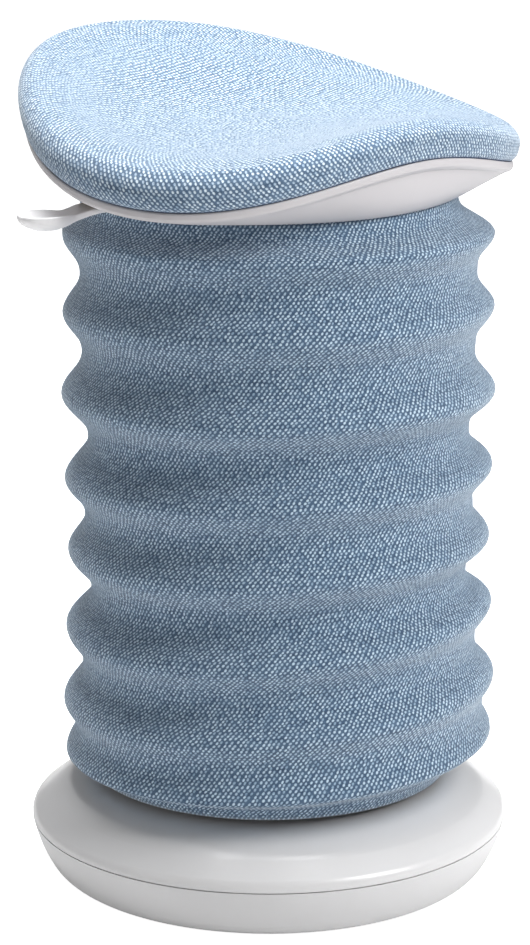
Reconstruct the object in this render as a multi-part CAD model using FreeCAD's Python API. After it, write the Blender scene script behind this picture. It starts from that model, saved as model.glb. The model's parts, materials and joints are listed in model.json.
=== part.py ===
import FreeCAD, Part
import math
import os

from FreeCAD import Vector

# A height-adjustable wobble stool: a weighted round base, a gas lift column,
# a collapsible fabric bellows stretched over eight hoops, and a saddle seat.
# Millimetres. +Z is up, the front of the seat points along -Y, and the origin is
# the middle of the sole, on the floor under the column's axis.

# Base shells
base_radius = 185.0
base_seam_z = 45.5
base_seam_gap = 0.8
base_wall = 3.2
cover_edge_z = 51.8
cover_slope_deg = 38.0
cover_deck_z = 83.0
cover_edge_round = 8.0
cover_deck_round = 85.0
collar_radius = 64.0
collar_wall = 4.0
collar_height = 9.0
lip_depth = 3.0
lip_wall = 2.8
lip_gap = 1.3
part_gap = 0.3

# Foot of the base
foot_radius = 148.0
foot_z = 3.2
bowl_waist_inset = 12.5
bowl_waist_z = 14.0
bowl_flank_inset = 4.2
bowl_flank_z = 31.0
sole_radius = 146.5
sole_flat_radius = 105.0
sole_edge_rise = 2.6
sole_thickness = 5.0

# Ballast, hub and their fasteners
ballast_radius = 128.0
ballast_thickness = 18.0
ballast_bolt_radius = 100.0
ballast_bolt_count = 4
hub_radius = 33.0
hub_height = 62.0
hub_drop = 16.0
hub_flange_radius = 60.0
hub_flange_thickness = 6.0
hub_rib_count = 6
hub_rib_thickness = 5.0
hub_rib_height = 26.0
hub_bolt_radius = 49.0
hub_bolt_count = 6
m6_radius = 3.0
m6_head_radius = 5.0
m6_head_height = 6.0
m6_socket_flat_radius = 2.9
hub_bolt_length = 18.0
ballast_bolt_length = 15.0
countersink_depth = 2.6
cover_screw_circle = 138.0
cover_screw_count = 6
cover_screw_radius = 2.0
cover_screw_head_radius = 3.8
cover_screw_head_height = 2.6
cover_screw_length = 44.0
boss_radius = 6.0
boss_meeting_z = 36.0
screw_clearance = 0.3

# Gas lift column
tube_radius = 25.0
tube_wall = 2.0
tube_bottom_z = 14.0
tube_top_z = 302.0
tube_floor_thickness = 3.0
tube_taper_drop = 1.45
bush_length = 80.0
bush_lip_height = 3.0
cylinder_radius = 14.0
cylinder_wall = 2.0
cylinder_bottom_z = 225.0
cylinder_top_z = 530.0
cylinder_head_length = 95.0
taper_length = 56.0
taper_drop = 1.0
rod_radius = 5.0
rod_top_z = 262.0
rod_neck_radius = 4.0
running_gap = 0.06
piston_length = 12.0
gland_length = 9.0
bumper_radius = 10.0
bumper_length = 14.0
bearing_radius = 14.0
washer_thickness = 1.5
ball_radius = 2.0
ball_count = 10
ball_circle = 10.0
cage_thickness = 1.6
clip_radius = 8.0
clip_thickness = 1.2
button_radius = 4.0
button_length = 21.0
button_gap = 0.4

# Bellows: crests and the waists between them, from the top down. The folds hang a
# little to one side, and each crest rises towards that side and towards the front of it.
fabric_thickness = 2.2
fabric_top_z = 538.7
fabric_top_radius = 140.6
fabric_neck_z = 532.0
fabric_neck_radius = 142.4
neck_shift_share = 0.12
crest_roll = 4.0
waist_roll = 6.5
crest_z = [506.6, 448.5, 384.0, 322.2, 265.2, 207.5, 149.3, 106.5]
crest_radius = [162.5, 163.4, 165.2, 163.4, 162.1, 164.5, 166.9, 165.2]
waist_radius = [150.1, 149.7, 145.9, 149.1, 145.1, 152.2, 158.6]
crest_side_rise = [0.8, 2.3, 1.5, 5.9, 6.2, 10.2, 11.0, 8.6]
crest_front_rise = [7.0, 8.0, 9.0, 9.0, 9.0, 5.0, 6.0, 1.0]
fold_shift = 7.36
fold_lean_deg = -43.6
fabric_tuck_z = 93.0
fabric_tuck_radius = 142.5
fabric_foot_z = 86.5
fabric_foot_radius = 139.6
hoop_width = 5.0
hoop_thickness = 2.2
hoop_gap = 0.6
glide_ring_radius = 100.0
glide_ring_width = 8.0
glide_ring_height = 3.8
carrier_thickness = 2.5
carrier_rim_wall = 3.2
carrier_rim_height = 18.0
carrier_window_count = 6
top_ring_wall = 4.0
top_ring_height = 11.5
top_ring_post_count = 4
top_ring_post_radius = 6.0
top_ring_post_inset = 7.1
collar_screw_length = 17.0
lever_notch_gap = 3.0

# Seat: reach of the edge from the axis and its rise above the middle of the
# saddle, at 0, 45, 90, 135 and 180 degrees from the front
seat_reach = [162.0, 181.4, 191.6, 182.0, 187.4]
seat_rise = [28.5, 7.7, 10.0, 49.8, 69.3]
seat_middle_z = 552.1
seat_dip_power = 2.06
seat_loop_points = 16
board_thickness = 5.0
board_edge_inset = 4.4
shell_wall = 3.2
shell_rim_depth = 7.8
shell_rim_tuck = 5.0
shell_rim_roll = 3.3
shell_top_round = 1.8
shell_rim_wall = 3.8
shell_ledge = 9.0
shell_flank_power = 1.7
shell_foot_overhang = 1.4
shell_foot_z = 539.0
shell_flange_width = 18
shell_boss_height = 4.0
pad_thickness = 35.4
pad_bulge = 4.2
pad_crown = 4.5
cover_thickness = 1.6
cover_slack = 0.05
seat_gap = 0.25

# Seat mechanism and release lever
plate_length = 150.0
plate_width = 130.0
plate_thickness = 3.0
plate_top_z = 534.5
plate_flange = 10.0
plate_hole_radius = 11.0
socket_wall = 5.0
seat_bolt_x = 55.0
seat_bolt_y = 48.0
seat_bolt_length = 16.0
board_boss_radius = 9.0
lever_angle_deg = 6.0
lever_pivot_reach = 55.0
lever_pin_radius = 2.0
lever_bottom_z = 539.8
lever_thickness = 5.6
lever_width = 22.0
lever_tail = 9.0
lever_bend_reach = 150.0
lever_rise = 0.8
lever_socket_depth = 9.5
lever_swing_deg = 3.0
ear_thickness = 2.5
ear_length = 14.0
ear_height = 11.5
paddle_reach = 209.5
paddle_z = 547.0
paddle_half_length = 22.5
paddle_half_width = 18.5
paddle_depth = 14.5

axis_up = Vector(0, 0, 1)
origin = Vector(0, 0, 0)
tan_slope = math.tan(math.radians(cover_slope_deg))
cos_slope = math.cos(math.radians(cover_slope_deg))
floor_z = sole_thickness + base_wall
ballast_top_z = floor_z + ballast_thickness
flange_top_z = ballast_top_z + hub_flange_thickness
hub_bottom_z = ballast_top_z - hub_drop
hub_top_z = hub_bottom_z + hub_height
collar_top_z = cover_deck_z + collar_height
glide_top_z = cover_deck_z + glide_ring_height
plate_bottom_z = plate_top_z - plate_thickness
shell_foot_radius = fabric_top_radius + shell_foot_overhang


def rz(radius, z):
    """A point of a half section in the XZ plane."""
    return Vector(radius, 0, z)


def turned(points):
    """A solid of revolution about Z from a closed outline of (radius, z) corners."""
    corners = [rz(r, z) for r, z in points]
    face = Part.Face(Part.makePolygon(corners + [corners[0]]))
    return face.revolve(origin, axis_up, 360)


def rounded_path(corners):
    """Edges through (radius, z, rounding) corners of a half section, each corner rounded."""
    edges = []
    start = rz(corners[0][0], corners[0][1])
    for before, here, after in zip(corners, corners[1:], corners[2:]):
        corner = rz(here[0], here[1])
        back = (rz(before[0], before[1]) - corner).normalize()
        ahead = (rz(after[0], after[1]) - corner).normalize()
        half_turn = back.getAngle(ahead) / 2
        if here[2] > 0:
            tangent = here[2] / math.tan(half_turn)
            inward = (back + ahead).normalize()
            middle = corner + inward * (here[2] / math.sin(half_turn) - here[2])
            edges.append(Part.makeLine(start, corner + back * tangent))
            edges.append(Part.Arc(corner + back * tangent, middle, corner + ahead * tangent).toShape())
            start = corner + ahead * tangent
        else:
            edges.append(Part.makeLine(start, corner))
            start = corner
    edges.append(Part.makeLine(start, rz(corners[-1][0], corners[-1][1])))
    return edges


def turned_edges(edges):
    """A solid of revolution from edges that close with a straight line."""
    first = edges[0].Vertexes[0].Point
    last = edges[-1].Vertexes[-1].Point
    wire = Part.Wire(Part.__sortEdges__(edges + [Part.makeLine(last, first)]))
    return Part.Face(wire).revolve(origin, axis_up, 360)


def ring(inner, outer, bottom, top):
    """A plain ring."""
    return turned([(inner, bottom), (outer, bottom), (outer, top), (inner, top)])


def disc(radius, bottom, top):
    """A plain upright disc or rod on the axis."""
    return Part.makeCylinder(radius, top - bottom, Vector(0, 0, bottom))


def rod_at(radius, x, y, bottom, top):
    """An upright round bar."""
    return Part.makeCylinder(radius, top - bottom, Vector(x, y, bottom))


def around(count, circle, start_deg=0.0):
    """Places spaced evenly on a circle about the axis."""
    for i in range(count):
        angle = math.radians(start_deg + 360.0 * i / count)
        yield circle * math.cos(angle), circle * math.sin(angle)


def group(solids):
    """Separate solids that share one node."""
    return Part.makeCompound(solids)


def hex_socket(x, y, flat_radius, bottom, top):
    """A hexagon prism, for the socket in a bolt head."""
    corner = flat_radius / math.cos(math.radians(30))
    points = [Vector(x + corner * math.cos(math.radians(60 * i)), y + corner * math.sin(math.radians(60 * i)), bottom)
              for i in range(7)]
    return Part.Face(Part.makePolygon(points)).extrude(Vector(0, 0, top - bottom))


# Base

def cover_corners(inset):
    """Corners of the cover's half section, set in by a wall thickness."""
    edge_r = base_radius - inset
    edge_z = cover_edge_z + inset * tan_slope - inset / cos_slope
    deck_z = cover_deck_z - inset
    deck_r = edge_r - (deck_z - edge_z) / tan_slope
    return [
        (edge_r, base_seam_z + base_seam_gap / 2, 0),
        (edge_r, edge_z, max(cover_edge_round - inset, 1.0)),
        (deck_r, deck_z, cover_deck_round - inset),
        (collar_radius - collar_wall, deck_z, 0),
    ]


def tangent_arc(start, direction, end):
    """An arc that leaves start along a direction and arrives at end, in the XZ plane."""
    side = Vector(direction.z, 0, -direction.x).normalize()
    across = end - start
    radius = across.dot(across) / (2 * across.dot(side))
    centre = start + side * radius
    outward = ((start + end) * 0.5 - centre).normalize()
    return Part.Arc(start, centre + outward * abs(radius), end).toShape()


def bowl_edge(inset):
    """The bowl's curved flank, from the joint line down to the foot."""
    top = rz(base_radius - inset, base_seam_z - base_seam_gap / 2)
    flank = rz(base_radius - bowl_flank_inset - inset, bowl_flank_z)
    waist = rz(base_radius - bowl_waist_inset - inset, bowl_waist_z + inset * 0.4)
    foot = rz(foot_radius - inset * 0.4, foot_z + inset * 1.56)
    upper = Part.Arc(top, flank, waist)
    return [upper.toShape(), tangent_arc(waist, upper.tangent(upper.LastParameter)[0], foot)], top, foot


def rocker_sole():
    """The rubber disc under the base: flat in the middle, curving up at its edge."""
    span = sole_radius - sole_flat_radius
    rocker = (span ** 2 + sole_edge_rise ** 2) / (2 * sole_edge_rise)
    half = span / 2
    edge = Part.Arc(
        rz(sole_flat_radius, 0),
        rz(sole_flat_radius + half, rocker - math.sqrt(rocker ** 2 - half ** 2)),
        rz(sole_radius, sole_edge_rise),
    ).toShape()
    return turned_edges([
        Part.makeLine(rz(0, 0), rz(sole_flat_radius, 0)),
        edge,
        Part.makeLine(rz(sole_radius, sole_edge_rise), rz(sole_radius, sole_thickness)),
        Part.makeLine(rz(sole_radius, sole_thickness), rz(0, sole_thickness)),
    ])


def base_bowl():
    """The lower shell, with its screw bosses and the recess for the sole."""
    outer, top, foot = bowl_edge(0)
    recess = sole_radius + part_gap
    body = turned_edges([
        Part.makeLine(rz(0, base_seam_z - base_seam_gap / 2), top),
        *outer,
        Part.makeLine(foot, rz(recess, foot_z)),
        Part.makeLine(rz(recess, foot_z), rz(recess, sole_thickness)),
        Part.makeLine(rz(recess, sole_thickness), rz(0, sole_thickness)),
    ])
    inner, inner_top, inner_foot = bowl_edge(base_wall)
    hollow = turned_edges([
        Part.makeLine(rz(0, base_seam_z), rz(base_radius - base_wall, base_seam_z)),
        Part.makeLine(rz(base_radius - base_wall, base_seam_z), inner_top),
        *inner,
        Part.makeLine(inner_foot, rz(0, floor_z)),
    ])
    body = body.cut(hollow)
    for x, y in around(cover_screw_count, cover_screw_circle):
        body = body.fuse(rod_at(boss_radius, x, y, floor_z - 1, boss_meeting_z))
    for x, y in around(cover_screw_count, cover_screw_circle):
        head_space = cover_screw_head_radius + screw_clearance
        body = body.cut(rod_at(head_space, x, y, 0, sole_thickness + cover_screw_head_height))
        body = body.cut(rod_at(cover_screw_radius + screw_clearance, x, y, 0, boss_meeting_z + 1))
    for x, y in around(ballast_bolt_count, ballast_bolt_radius, 45):
        body = body.cut(countersunk_bolt(x, y, screw_clearance))
    return body


def countersunk_bolt(x, y, extra=0.0):
    """A flat-headed bolt that points up from the underside of the bowl."""
    head = Part.makeCone(m6_head_radius + extra, m6_radius + extra, countersink_depth, Vector(x, y, sole_thickness))
    shank = rod_at(m6_radius + extra, x, y, sole_thickness + countersink_depth, sole_thickness + ballast_bolt_length)
    return head.fuse(shank)


def base_cover():
    """The upper shell, with its locating lip, collar and screw bosses."""
    outer = turned_edges(rounded_path(
        cover_corners(0) + [(collar_radius - collar_wall, base_seam_z + base_seam_gap / 2, 0)]))
    hollow_corners = cover_corners(base_wall)
    hollow = turned_edges(rounded_path(
        hollow_corners + [(collar_radius - collar_wall, base_seam_z + base_seam_gap / 2, 0)]))
    body = outer.cut(hollow)
    lip_outer = base_radius - base_wall - lip_gap
    lip_top = base_seam_z + base_seam_gap / 2 + lip_depth
    body = body.fuse(turned([
        (lip_outer - lip_wall, base_seam_z - lip_depth),
        (lip_outer, base_seam_z - lip_depth),
        (lip_outer, base_seam_z + base_seam_gap / 2),
        (base_radius - base_wall / 2, base_seam_z + base_seam_gap / 2),
        (base_radius - base_wall / 2, lip_top),
        (lip_outer - lip_wall, lip_top),
    ]))
    body = body.fuse(ring(collar_radius - collar_wall, collar_radius, cover_deck_z - base_wall, collar_top_z))
    under_deck = cover_deck_z - base_wall / 2
    posts = None
    for x, y in around(cover_screw_count, cover_screw_circle):
        post = rod_at(boss_radius, x, y, boss_meeting_z, under_deck)
        posts = post if posts is None else posts.fuse(post)
    body = body.fuse(posts.common(outer_above_posts()))
    for x, y in around(cover_screw_count, cover_screw_circle):
        body = body.cut(rod_at(cover_screw_radius, x, y, boss_meeting_z - 1, screw_tip_z() + 2))
    return body


def outer_above_posts():
    """The space inside the cover's outer skin, carried down to where the bosses meet."""
    corners = cover_corners(base_wall / 2)
    down = [(corners[0][0], boss_meeting_z, 0)] + corners[1:3]
    return turned_edges(rounded_path(down + [(0, corners[3][1], 0), (0, boss_meeting_z, 0)]))


def screw_tip_z():
    return sole_thickness + cover_screw_head_height + cover_screw_length


def cover_screws():
    """Pan-headed screws from under the bowl up into the cover's bosses."""
    screws = []
    for x, y in around(cover_screw_count, cover_screw_circle):
        head_top = sole_thickness + cover_screw_head_height
        head = rod_at(cover_screw_head_radius, x, y, sole_thickness, head_top)
        screws.append(head.fuse(rod_at(cover_screw_radius, x, y, head_top, screw_tip_z())))
    return group(screws)


def ballast_disc():
    """The iron weight, with the holes for the hub bolts and its own bolts."""
    body = ring(hub_radius + part_gap, ballast_radius, floor_z, ballast_top_z)
    for x, y in around(hub_bolt_count, hub_bolt_radius):
        body = body.cut(rod_at(m6_radius, x, y, flange_top_z - hub_bolt_length - 1, ballast_top_z + 1))
    for x, y in around(ballast_bolt_count, ballast_bolt_radius, 45):
        body = body.cut(rod_at(m6_radius, x, y, floor_z - 1, sole_thickness + ballast_bolt_length + 1))
    return body


def ballast_bolts():
    return group([countersunk_bolt(x, y) for x, y in around(ballast_bolt_count, ballast_bolt_radius, 45)])


def tube_taper_radius(z):
    """The stand tube's outer radius inside the hub's tapered bore."""
    share = (hub_top_z - z) / (hub_top_z - tube_bottom_z)
    return tube_radius - tube_taper_drop * max(share, 0.0)


def column_hub():
    """The flanged hub with a tapered bore, ribbed between its boss and flange."""
    body = turned([
        (tube_taper_radius(hub_bottom_z), hub_bottom_z),
        (hub_radius, hub_bottom_z),
        (hub_radius, ballast_top_z),
        (hub_flange_radius, ballast_top_z),
        (hub_flange_radius, flange_top_z),
        (hub_radius, flange_top_z),
        (hub_radius, hub_top_z),
        (tube_taper_radius(hub_top_z), hub_top_z),
    ])
    reach = hub_flange_radius - 2
    for i in range(hub_rib_count):
        rib = Part.Face(Part.makePolygon([
            Vector(hub_radius - 2, -hub_rib_thickness / 2, flange_top_z - 1),
            Vector(reach, -hub_rib_thickness / 2, flange_top_z - 1),
            Vector(reach, -hub_rib_thickness / 2, flange_top_z),
            Vector(hub_radius, -hub_rib_thickness / 2, flange_top_z + hub_rib_height),
            Vector(hub_radius - 2, -hub_rib_thickness / 2, flange_top_z + hub_rib_height),
            Vector(hub_radius - 2, -hub_rib_thickness / 2, flange_top_z - 1),
        ])).extrude(Vector(0, hub_rib_thickness, 0))
        rib.rotate(origin, axis_up, 360.0 * (i + 0.5) / hub_rib_count)
        body = body.fuse(rib)
    for x, y in around(hub_bolt_count, hub_bolt_radius):
        body = body.cut(rod_at(m6_radius + screw_clearance, x, y, ballast_top_z - 1, flange_top_z + 1))
    return body


def socket_bolt(x, y, seat_z, length):
    """A cap-headed bolt that points down, its head standing on seat_z."""
    head = rod_at(m6_head_radius, x, y, seat_z, seat_z + m6_head_height)
    head = head.cut(hex_socket(x, y, m6_socket_flat_radius, seat_z + m6_head_height / 2, seat_z + m6_head_height + 1))
    return head.fuse(rod_at(m6_radius, x, y, seat_z - length, seat_z))


def hub_bolts():
    return group([socket_bolt(x, y, flange_top_z, hub_bolt_length)
                  for x, y in around(hub_bolt_count, hub_bolt_radius)])


# Gas lift column

def stand_tube():
    """The outer tube, tapered where it wedges into the hub, with a floor for the bearing."""
    bore = tube_radius - tube_wall
    foot_bore = tube_taper_radius(tube_bottom_z) - tube_wall
    floor_top = tube_bottom_z + tube_floor_thickness
    return turned([
        (rod_neck_radius + running_gap, tube_bottom_z),
        (tube_taper_radius(tube_bottom_z), tube_bottom_z),
        (tube_radius, hub_top_z),
        (tube_radius, tube_top_z),
        (bore, tube_top_z),
        (bore, hub_top_z),
        (foot_bore, floor_top),
        (rod_neck_radius + running_gap, floor_top),
    ])


def guide_bush():
    """The plastic sleeve that guides the gas cylinder in the stand tube."""
    bore = cylinder_radius + running_gap
    outer = tube_radius - tube_wall
    return turned([
        (bore, tube_top_z - bush_length),
        (outer, tube_top_z - bush_length),
        (outer, tube_top_z),
        (tube_radius, tube_top_z),
        (tube_radius - 1, tube_top_z + bush_lip_height),
        (bore, tube_top_z + bush_lip_height),
    ])


def bearing_base_z():
    return tube_bottom_z + tube_floor_thickness


def lower_washer():
    bottom = bearing_base_z()
    return ring(rod_neck_radius + 1, bearing_radius, bottom, bottom + washer_thickness)


def ball_cage():
    """The thin ring that keeps the bearing's balls apart."""
    middle = bearing_base_z() + washer_thickness + ball_radius
    body = ring(rod_neck_radius + 2, bearing_radius - 1, middle - cage_thickness / 2, middle + cage_thickness / 2)
    for x, y in around(ball_count, ball_circle):
        body = body.cut(rod_at(ball_radius + 0.1, x, y, middle - cage_thickness, middle + cage_thickness))
    return body


def bearing_balls():
    middle = bearing_base_z() + washer_thickness + ball_radius
    return group([Part.makeSphere(ball_radius, Vector(x, y, middle)) for x, y in around(ball_count, ball_circle)])


def upper_washer_z():
    return bearing_base_z() + washer_thickness + 2 * ball_radius + running_gap


def upper_washer():
    bottom = upper_washer_z()
    return ring(rod_neck_radius, bearing_radius, bottom, bottom + washer_thickness)


def rod_shoulder_z():
    return upper_washer_z() + washer_thickness


def clip_top_z():
    return tube_bottom_z - part_gap


def piston_rod():
    """The steel rod, necked where it passes the bearing and the tube's floor."""
    clip_bottom = clip_top_z() - clip_thickness
    return turned([
        (0, clip_bottom - 1),
        (rod_neck_radius, clip_bottom - 1),
        (rod_neck_radius, rod_shoulder_z()),
        (rod_radius, rod_shoulder_z()),
        (rod_radius, rod_top_z),
        (0, rod_top_z),
    ])


def rod_clip():
    """The slotted clip that holds the rod's neck under the tube."""
    body = ring(rod_neck_radius, clip_radius, clip_top_z() - clip_thickness, clip_top_z())
    slot = Part.makeBox(clip_radius + 1, rod_neck_radius, clip_thickness + 2,
                        Vector(0, -rod_neck_radius / 2, clip_top_z() - clip_thickness - 1))
    return body.cut(slot)


def rod_bumper():
    """The rubber stop on which the cylinder lands at its lowest."""
    return ring(rod_radius, bumper_radius, rod_shoulder_z(), rod_shoulder_z() + bumper_length)


def gas_piston():
    """The piston on the rod's upper end, inside the cylinder."""
    outer = cylinder_radius - cylinder_wall - running_gap
    return ring(rod_radius, outer, rod_top_z - piston_length, rod_top_z)


def cylinder_taper_radius(z):
    """The cylinder's outer radius along the taper that the seat socket holds."""
    share = (z - (cylinder_top_z - taper_length)) / taper_length
    return cylinder_radius - taper_drop * max(share, 0.0)


def gas_cylinder():
    """The pressure tube with its solid tapered head and the valve's bore."""
    bore = cylinder_radius - cylinder_wall
    head_bottom = cylinder_top_z - cylinder_head_length
    button_bottom = lever_bottom_z - button_gap - button_length
    return turned([
        (bore, cylinder_bottom_z),
        (cylinder_radius, cylinder_bottom_z),
        (cylinder_radius, cylinder_top_z - taper_length),
        (cylinder_taper_radius(cylinder_top_z), cylinder_top_z),
        (button_radius + running_gap, cylinder_top_z),
        (button_radius + running_gap, button_bottom - 5),
        (0, button_bottom - 5),
        (0, head_bottom),
        (bore, head_bottom),
    ])


def cylinder_gland():
    """The sealing bush in the cylinder's lower end."""
    return ring(rod_radius + running_gap, cylinder_radius - cylinder_wall,
                cylinder_bottom_z, cylinder_bottom_z + gland_length)


def valve_button():
    """The pin in the cylinder's head that opens the gas valve."""
    top = lever_bottom_z - button_gap
    return disc(button_radius, top - button_length, top)


# Bellows

def fold_rings():
    """Rings of the bellows from the foot up, four to a fold: (z, radius, shift share, side rise, front rise)."""
    rings = [(fabric_foot_z, fabric_foot_radius, 0.0, 0.0, 0.0), (fabric_tuck_z, fabric_tuck_radius, 0.3, 0.0, 0.0)]
    for i in reversed(range(len(crest_z))):
        if i < len(waist_radius):
            waist_z = (crest_z[i] + crest_z[i + 1]) / 2
            side = (crest_side_rise[i] + crest_side_rise[i + 1]) / 2
            front = (crest_front_rise[i] + crest_front_rise[i + 1]) / 2
            rings.append((waist_z - waist_roll, waist_radius[i], 1.0, side, front))
            rings.append((waist_z + waist_roll, waist_radius[i], 1.0, side, front))
        rings.append((crest_z[i] - crest_roll, crest_radius[i], 1.0, crest_side_rise[i], crest_front_rise[i]))
        rings.append((crest_z[i] + crest_roll, crest_radius[i], 1.0, crest_side_rise[i], crest_front_rise[i]))
    rings.append((fabric_neck_z, fabric_neck_radius, neck_shift_share, 0.0, 0.0))
    rings.append((fabric_top_z, fabric_top_radius, 0.0, 0.0, 0.0))
    return rings


def leaned(shape, z, radius, share, side, front):
    """Moves a flat round shape from the axis to its place in the folds, tipped by its two rises."""
    angle = math.radians(fold_lean_deg)
    along = Vector(math.cos(angle), math.sin(angle), 0)
    ahead = Vector(math.sin(angle), -math.cos(angle), 0)
    slope = (along * side + ahead * front) * (1 / radius)
    if slope.Length > 0:
        shape.rotate(origin, axis_up.cross(slope).negative(), math.degrees(math.atan(slope.Length)))
    shape.translate(along * (fold_shift * share) + Vector(0, 0, z))
    return shape


def fold_loop(fold_ring, inset):
    """One round section of the fabric, starting on the +X side."""
    return Part.Wire(leaned(Part.makeCircle(fold_ring[1] - inset), *fold_ring))


def bellows_fabric():
    """The knitted tube: crests over the hoops, drawn-in waists and a tucked foot."""
    skins = []
    loops = []
    for inset in (0.0, fabric_thickness):
        wires = [fold_loop(fold_ring, inset) for fold_ring in fold_rings()]
        skins += Part.makeLoft(wires, False, True).Faces
        loops.append((wires[0], wires[-1]))
    for outer, inner in zip(*loops):
        skins += Part.makeFace([outer, inner], "Part::FaceMakerBullseye").Faces
    return sewn(skins)


def bellows_hoop(i):
    """The flat sprung hoop inside crest i."""
    outer = crest_radius[i] - fabric_thickness - hoop_gap
    body = ring(outer - hoop_thickness, outer, -hoop_width / 2, hoop_width / 2)
    return leaned(body, crest_z[i], crest_radius[i], 1.0, crest_side_rise[i], crest_front_rise[i])


def glide_ring():
    """The slippery ring on the deck under the carrier."""
    return ring(glide_ring_radius - glide_ring_width, glide_ring_radius, cover_deck_z, glide_top_z)


def bellows_carrier():
    """The turning dish that carries the fabric's foot round the base's collar."""
    bottom = glide_top_z + part_gap
    top = bottom + carrier_thickness
    hub = collar_radius + 2 * part_gap
    rim_outer = fabric_foot_radius - fabric_thickness
    rim_inner = rim_outer - carrier_rim_wall
    body = turned([
        (hub, bottom),
        (rim_inner, bottom),
        (rim_inner, fabric_foot_z),
        (rim_outer, fabric_foot_z),
        (rim_outer, fabric_tuck_z),
        (rim_inner, fabric_foot_z + carrier_rim_height),
        (rim_inner - 1, top),
        (hub + carrier_rim_wall, top),
        (hub + carrier_rim_wall, collar_top_z - 1),
        (hub, collar_top_z - 1),
    ])
    window_radius = (rim_inner - hub) / 4
    for x, y in around(carrier_window_count, (rim_inner + hub) / 2 + 2):
        body = body.cut(rod_at(window_radius, x, y, bottom - 1, top + 1))
    return body


def top_ring_bottom_z():
    return fabric_top_z - top_ring_height


def top_ring_outer():
    return fabric_top_radius - fabric_thickness - part_gap


def collar_posts():
    return around(top_ring_post_count, top_ring_outer() - top_ring_post_inset, 45)


def top_collar():
    """The ring inside the fabric's upper edge, with posts for the screws into the shell."""
    outer = top_ring_outer()
    body = ring(outer - top_ring_wall, outer, top_ring_bottom_z(), fabric_top_z)
    for x, y in collar_posts():
        body = body.fuse(rod_at(top_ring_post_radius, x, y, top_ring_bottom_z(), fabric_top_z))
    for x, y in collar_posts():
        body = body.cut(rod_at(cover_screw_radius + screw_clearance, x, y, top_ring_bottom_z() - 1, fabric_top_z + 1))
    return body


def collar_screws():
    """Pan-headed screws up through the collar's posts into the shell's flange."""
    screws = []
    for x, y in collar_posts():
        bottom = top_ring_bottom_z()
        head = rod_at(cover_screw_head_radius, x, y, bottom - cover_screw_head_height, bottom)
        screws.append(head.fuse(rod_at(cover_screw_radius, x, y, bottom, bottom + collar_screw_length)))
    return group(screws)


# Seat

def cosine_series(values):
    """Terms of the cosine series that passes through values spaced evenly from 0 to 180 degrees."""
    steps = len(values) - 1
    terms = []
    for k in range(steps + 1):
        total = 0.0
        for j, value in enumerate(values):
            weight = 0.5 if j in (0, steps) else 1.0
            total += weight * value * math.cos(math.pi * k * j / steps)
        scale = 1.0 if k in (0, steps) else 2.0
        terms.append(scale * total / steps)
    return terms


reach_terms = cosine_series(seat_reach)
rise_terms = cosine_series(seat_rise)


def series(terms, angle):
    return sum(term * math.cos(k * angle) for k, term in enumerate(terms))


def seat_point(angle, share, inset, height):
    """A point over the saddle: share of the reach, less inset, and height above the saddle surface."""
    reach = series(reach_terms, angle)
    radius = share * reach - inset
    rise = series(rise_terms, angle) * max(radius / reach, 0.0) ** seat_dip_power
    z = seat_middle_z + rise + height
    return Vector(-radius * math.sin(angle), -radius * math.cos(angle), z)


def closed_curve(points):
    curve = Part.BSplineCurve()
    curve.interpolate(Points=points, PeriodicFlag=True)
    return Part.Wire(curve.toShape())


def seat_loop(share, inset, height):
    """A closed smooth loop round the seat."""
    return closed_curve([seat_point(2 * math.pi * i / seat_loop_points, share, inset, height)
                         for i in range(seat_loop_points)])


def seat_loop_at(share, z):
    """A flat loop round the seat at one height."""
    points = [seat_point(2 * math.pi * i / seat_loop_points, share, 0, 0) for i in range(seat_loop_points)]
    return closed_curve([Vector(point.x, point.y, z) for point in points])


def seat_skin(levels, middle_height=None):
    """A smooth skin through the levels, from the first to the last or on to a point over the middle."""
    sections = [seat_loop(*level) for level in levels]
    if middle_height is not None:
        sections.append(Part.Vertex(0, 0, seat_middle_z + middle_height))
    return Part.makeLoft(sections, False, False).Faces


def sewn(faces):
    """One solid from skins that share their border loops."""
    shell = Part.Shell(faces)
    shell.sewShape()
    body = Part.Solid(shell)
    if body.Volume < 0:
        body.reverse()
    return body


def saddle_levels(edge, height):
    """Levels of a saddle surface, from its edge level in towards the middle."""
    return [edge] + [(share, 0, height) for share in (0.85, 0.64, 0.43, 0.22, 0.05)]


def pad_crest(inset):
    """The pad's side and top, from the edge loop over the bulge to the crown."""
    thick = pad_thickness - inset
    side = [
        (1.0, inset, seat_gap),
        (1.0, inset - 0.6 * pad_bulge, thick * 0.12),
        (1.0, inset - pad_bulge, thick * 0.27),
        (1.0, inset - 1.2 * pad_bulge, thick * 0.46),
        (1.0, inset - 0.4 * pad_bulge, thick * 0.68),
        (1.0, inset + 5.0, thick * 0.87),
        (1.0, inset + 15.0, thick * 0.975),
    ]
    top = [(share, 0, thick + pad_crown * (1 - share ** 2)) for share in (0.82, 0.64, 0.43, 0.22, 0.05)]
    return seat_skin(side + top, thick + pad_crown), side[0]


def seat_cover():
    """The knitted skin over the pad, open underneath."""
    outer, outer_edge = pad_crest(0)
    inner, inner_edge = pad_crest(cover_thickness)
    hem = Part.makeLoft([seat_loop(*outer_edge), seat_loop(*inner_edge)], False, True).Faces
    return sewn(outer + inner + hem)


def seat_pad():
    """The foam under the cover."""
    crest, edge = pad_crest(cover_thickness + cover_slack)
    underside = seat_skin(saddle_levels(edge, seat_gap), seat_gap)
    return sewn(crest + underside)


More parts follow.
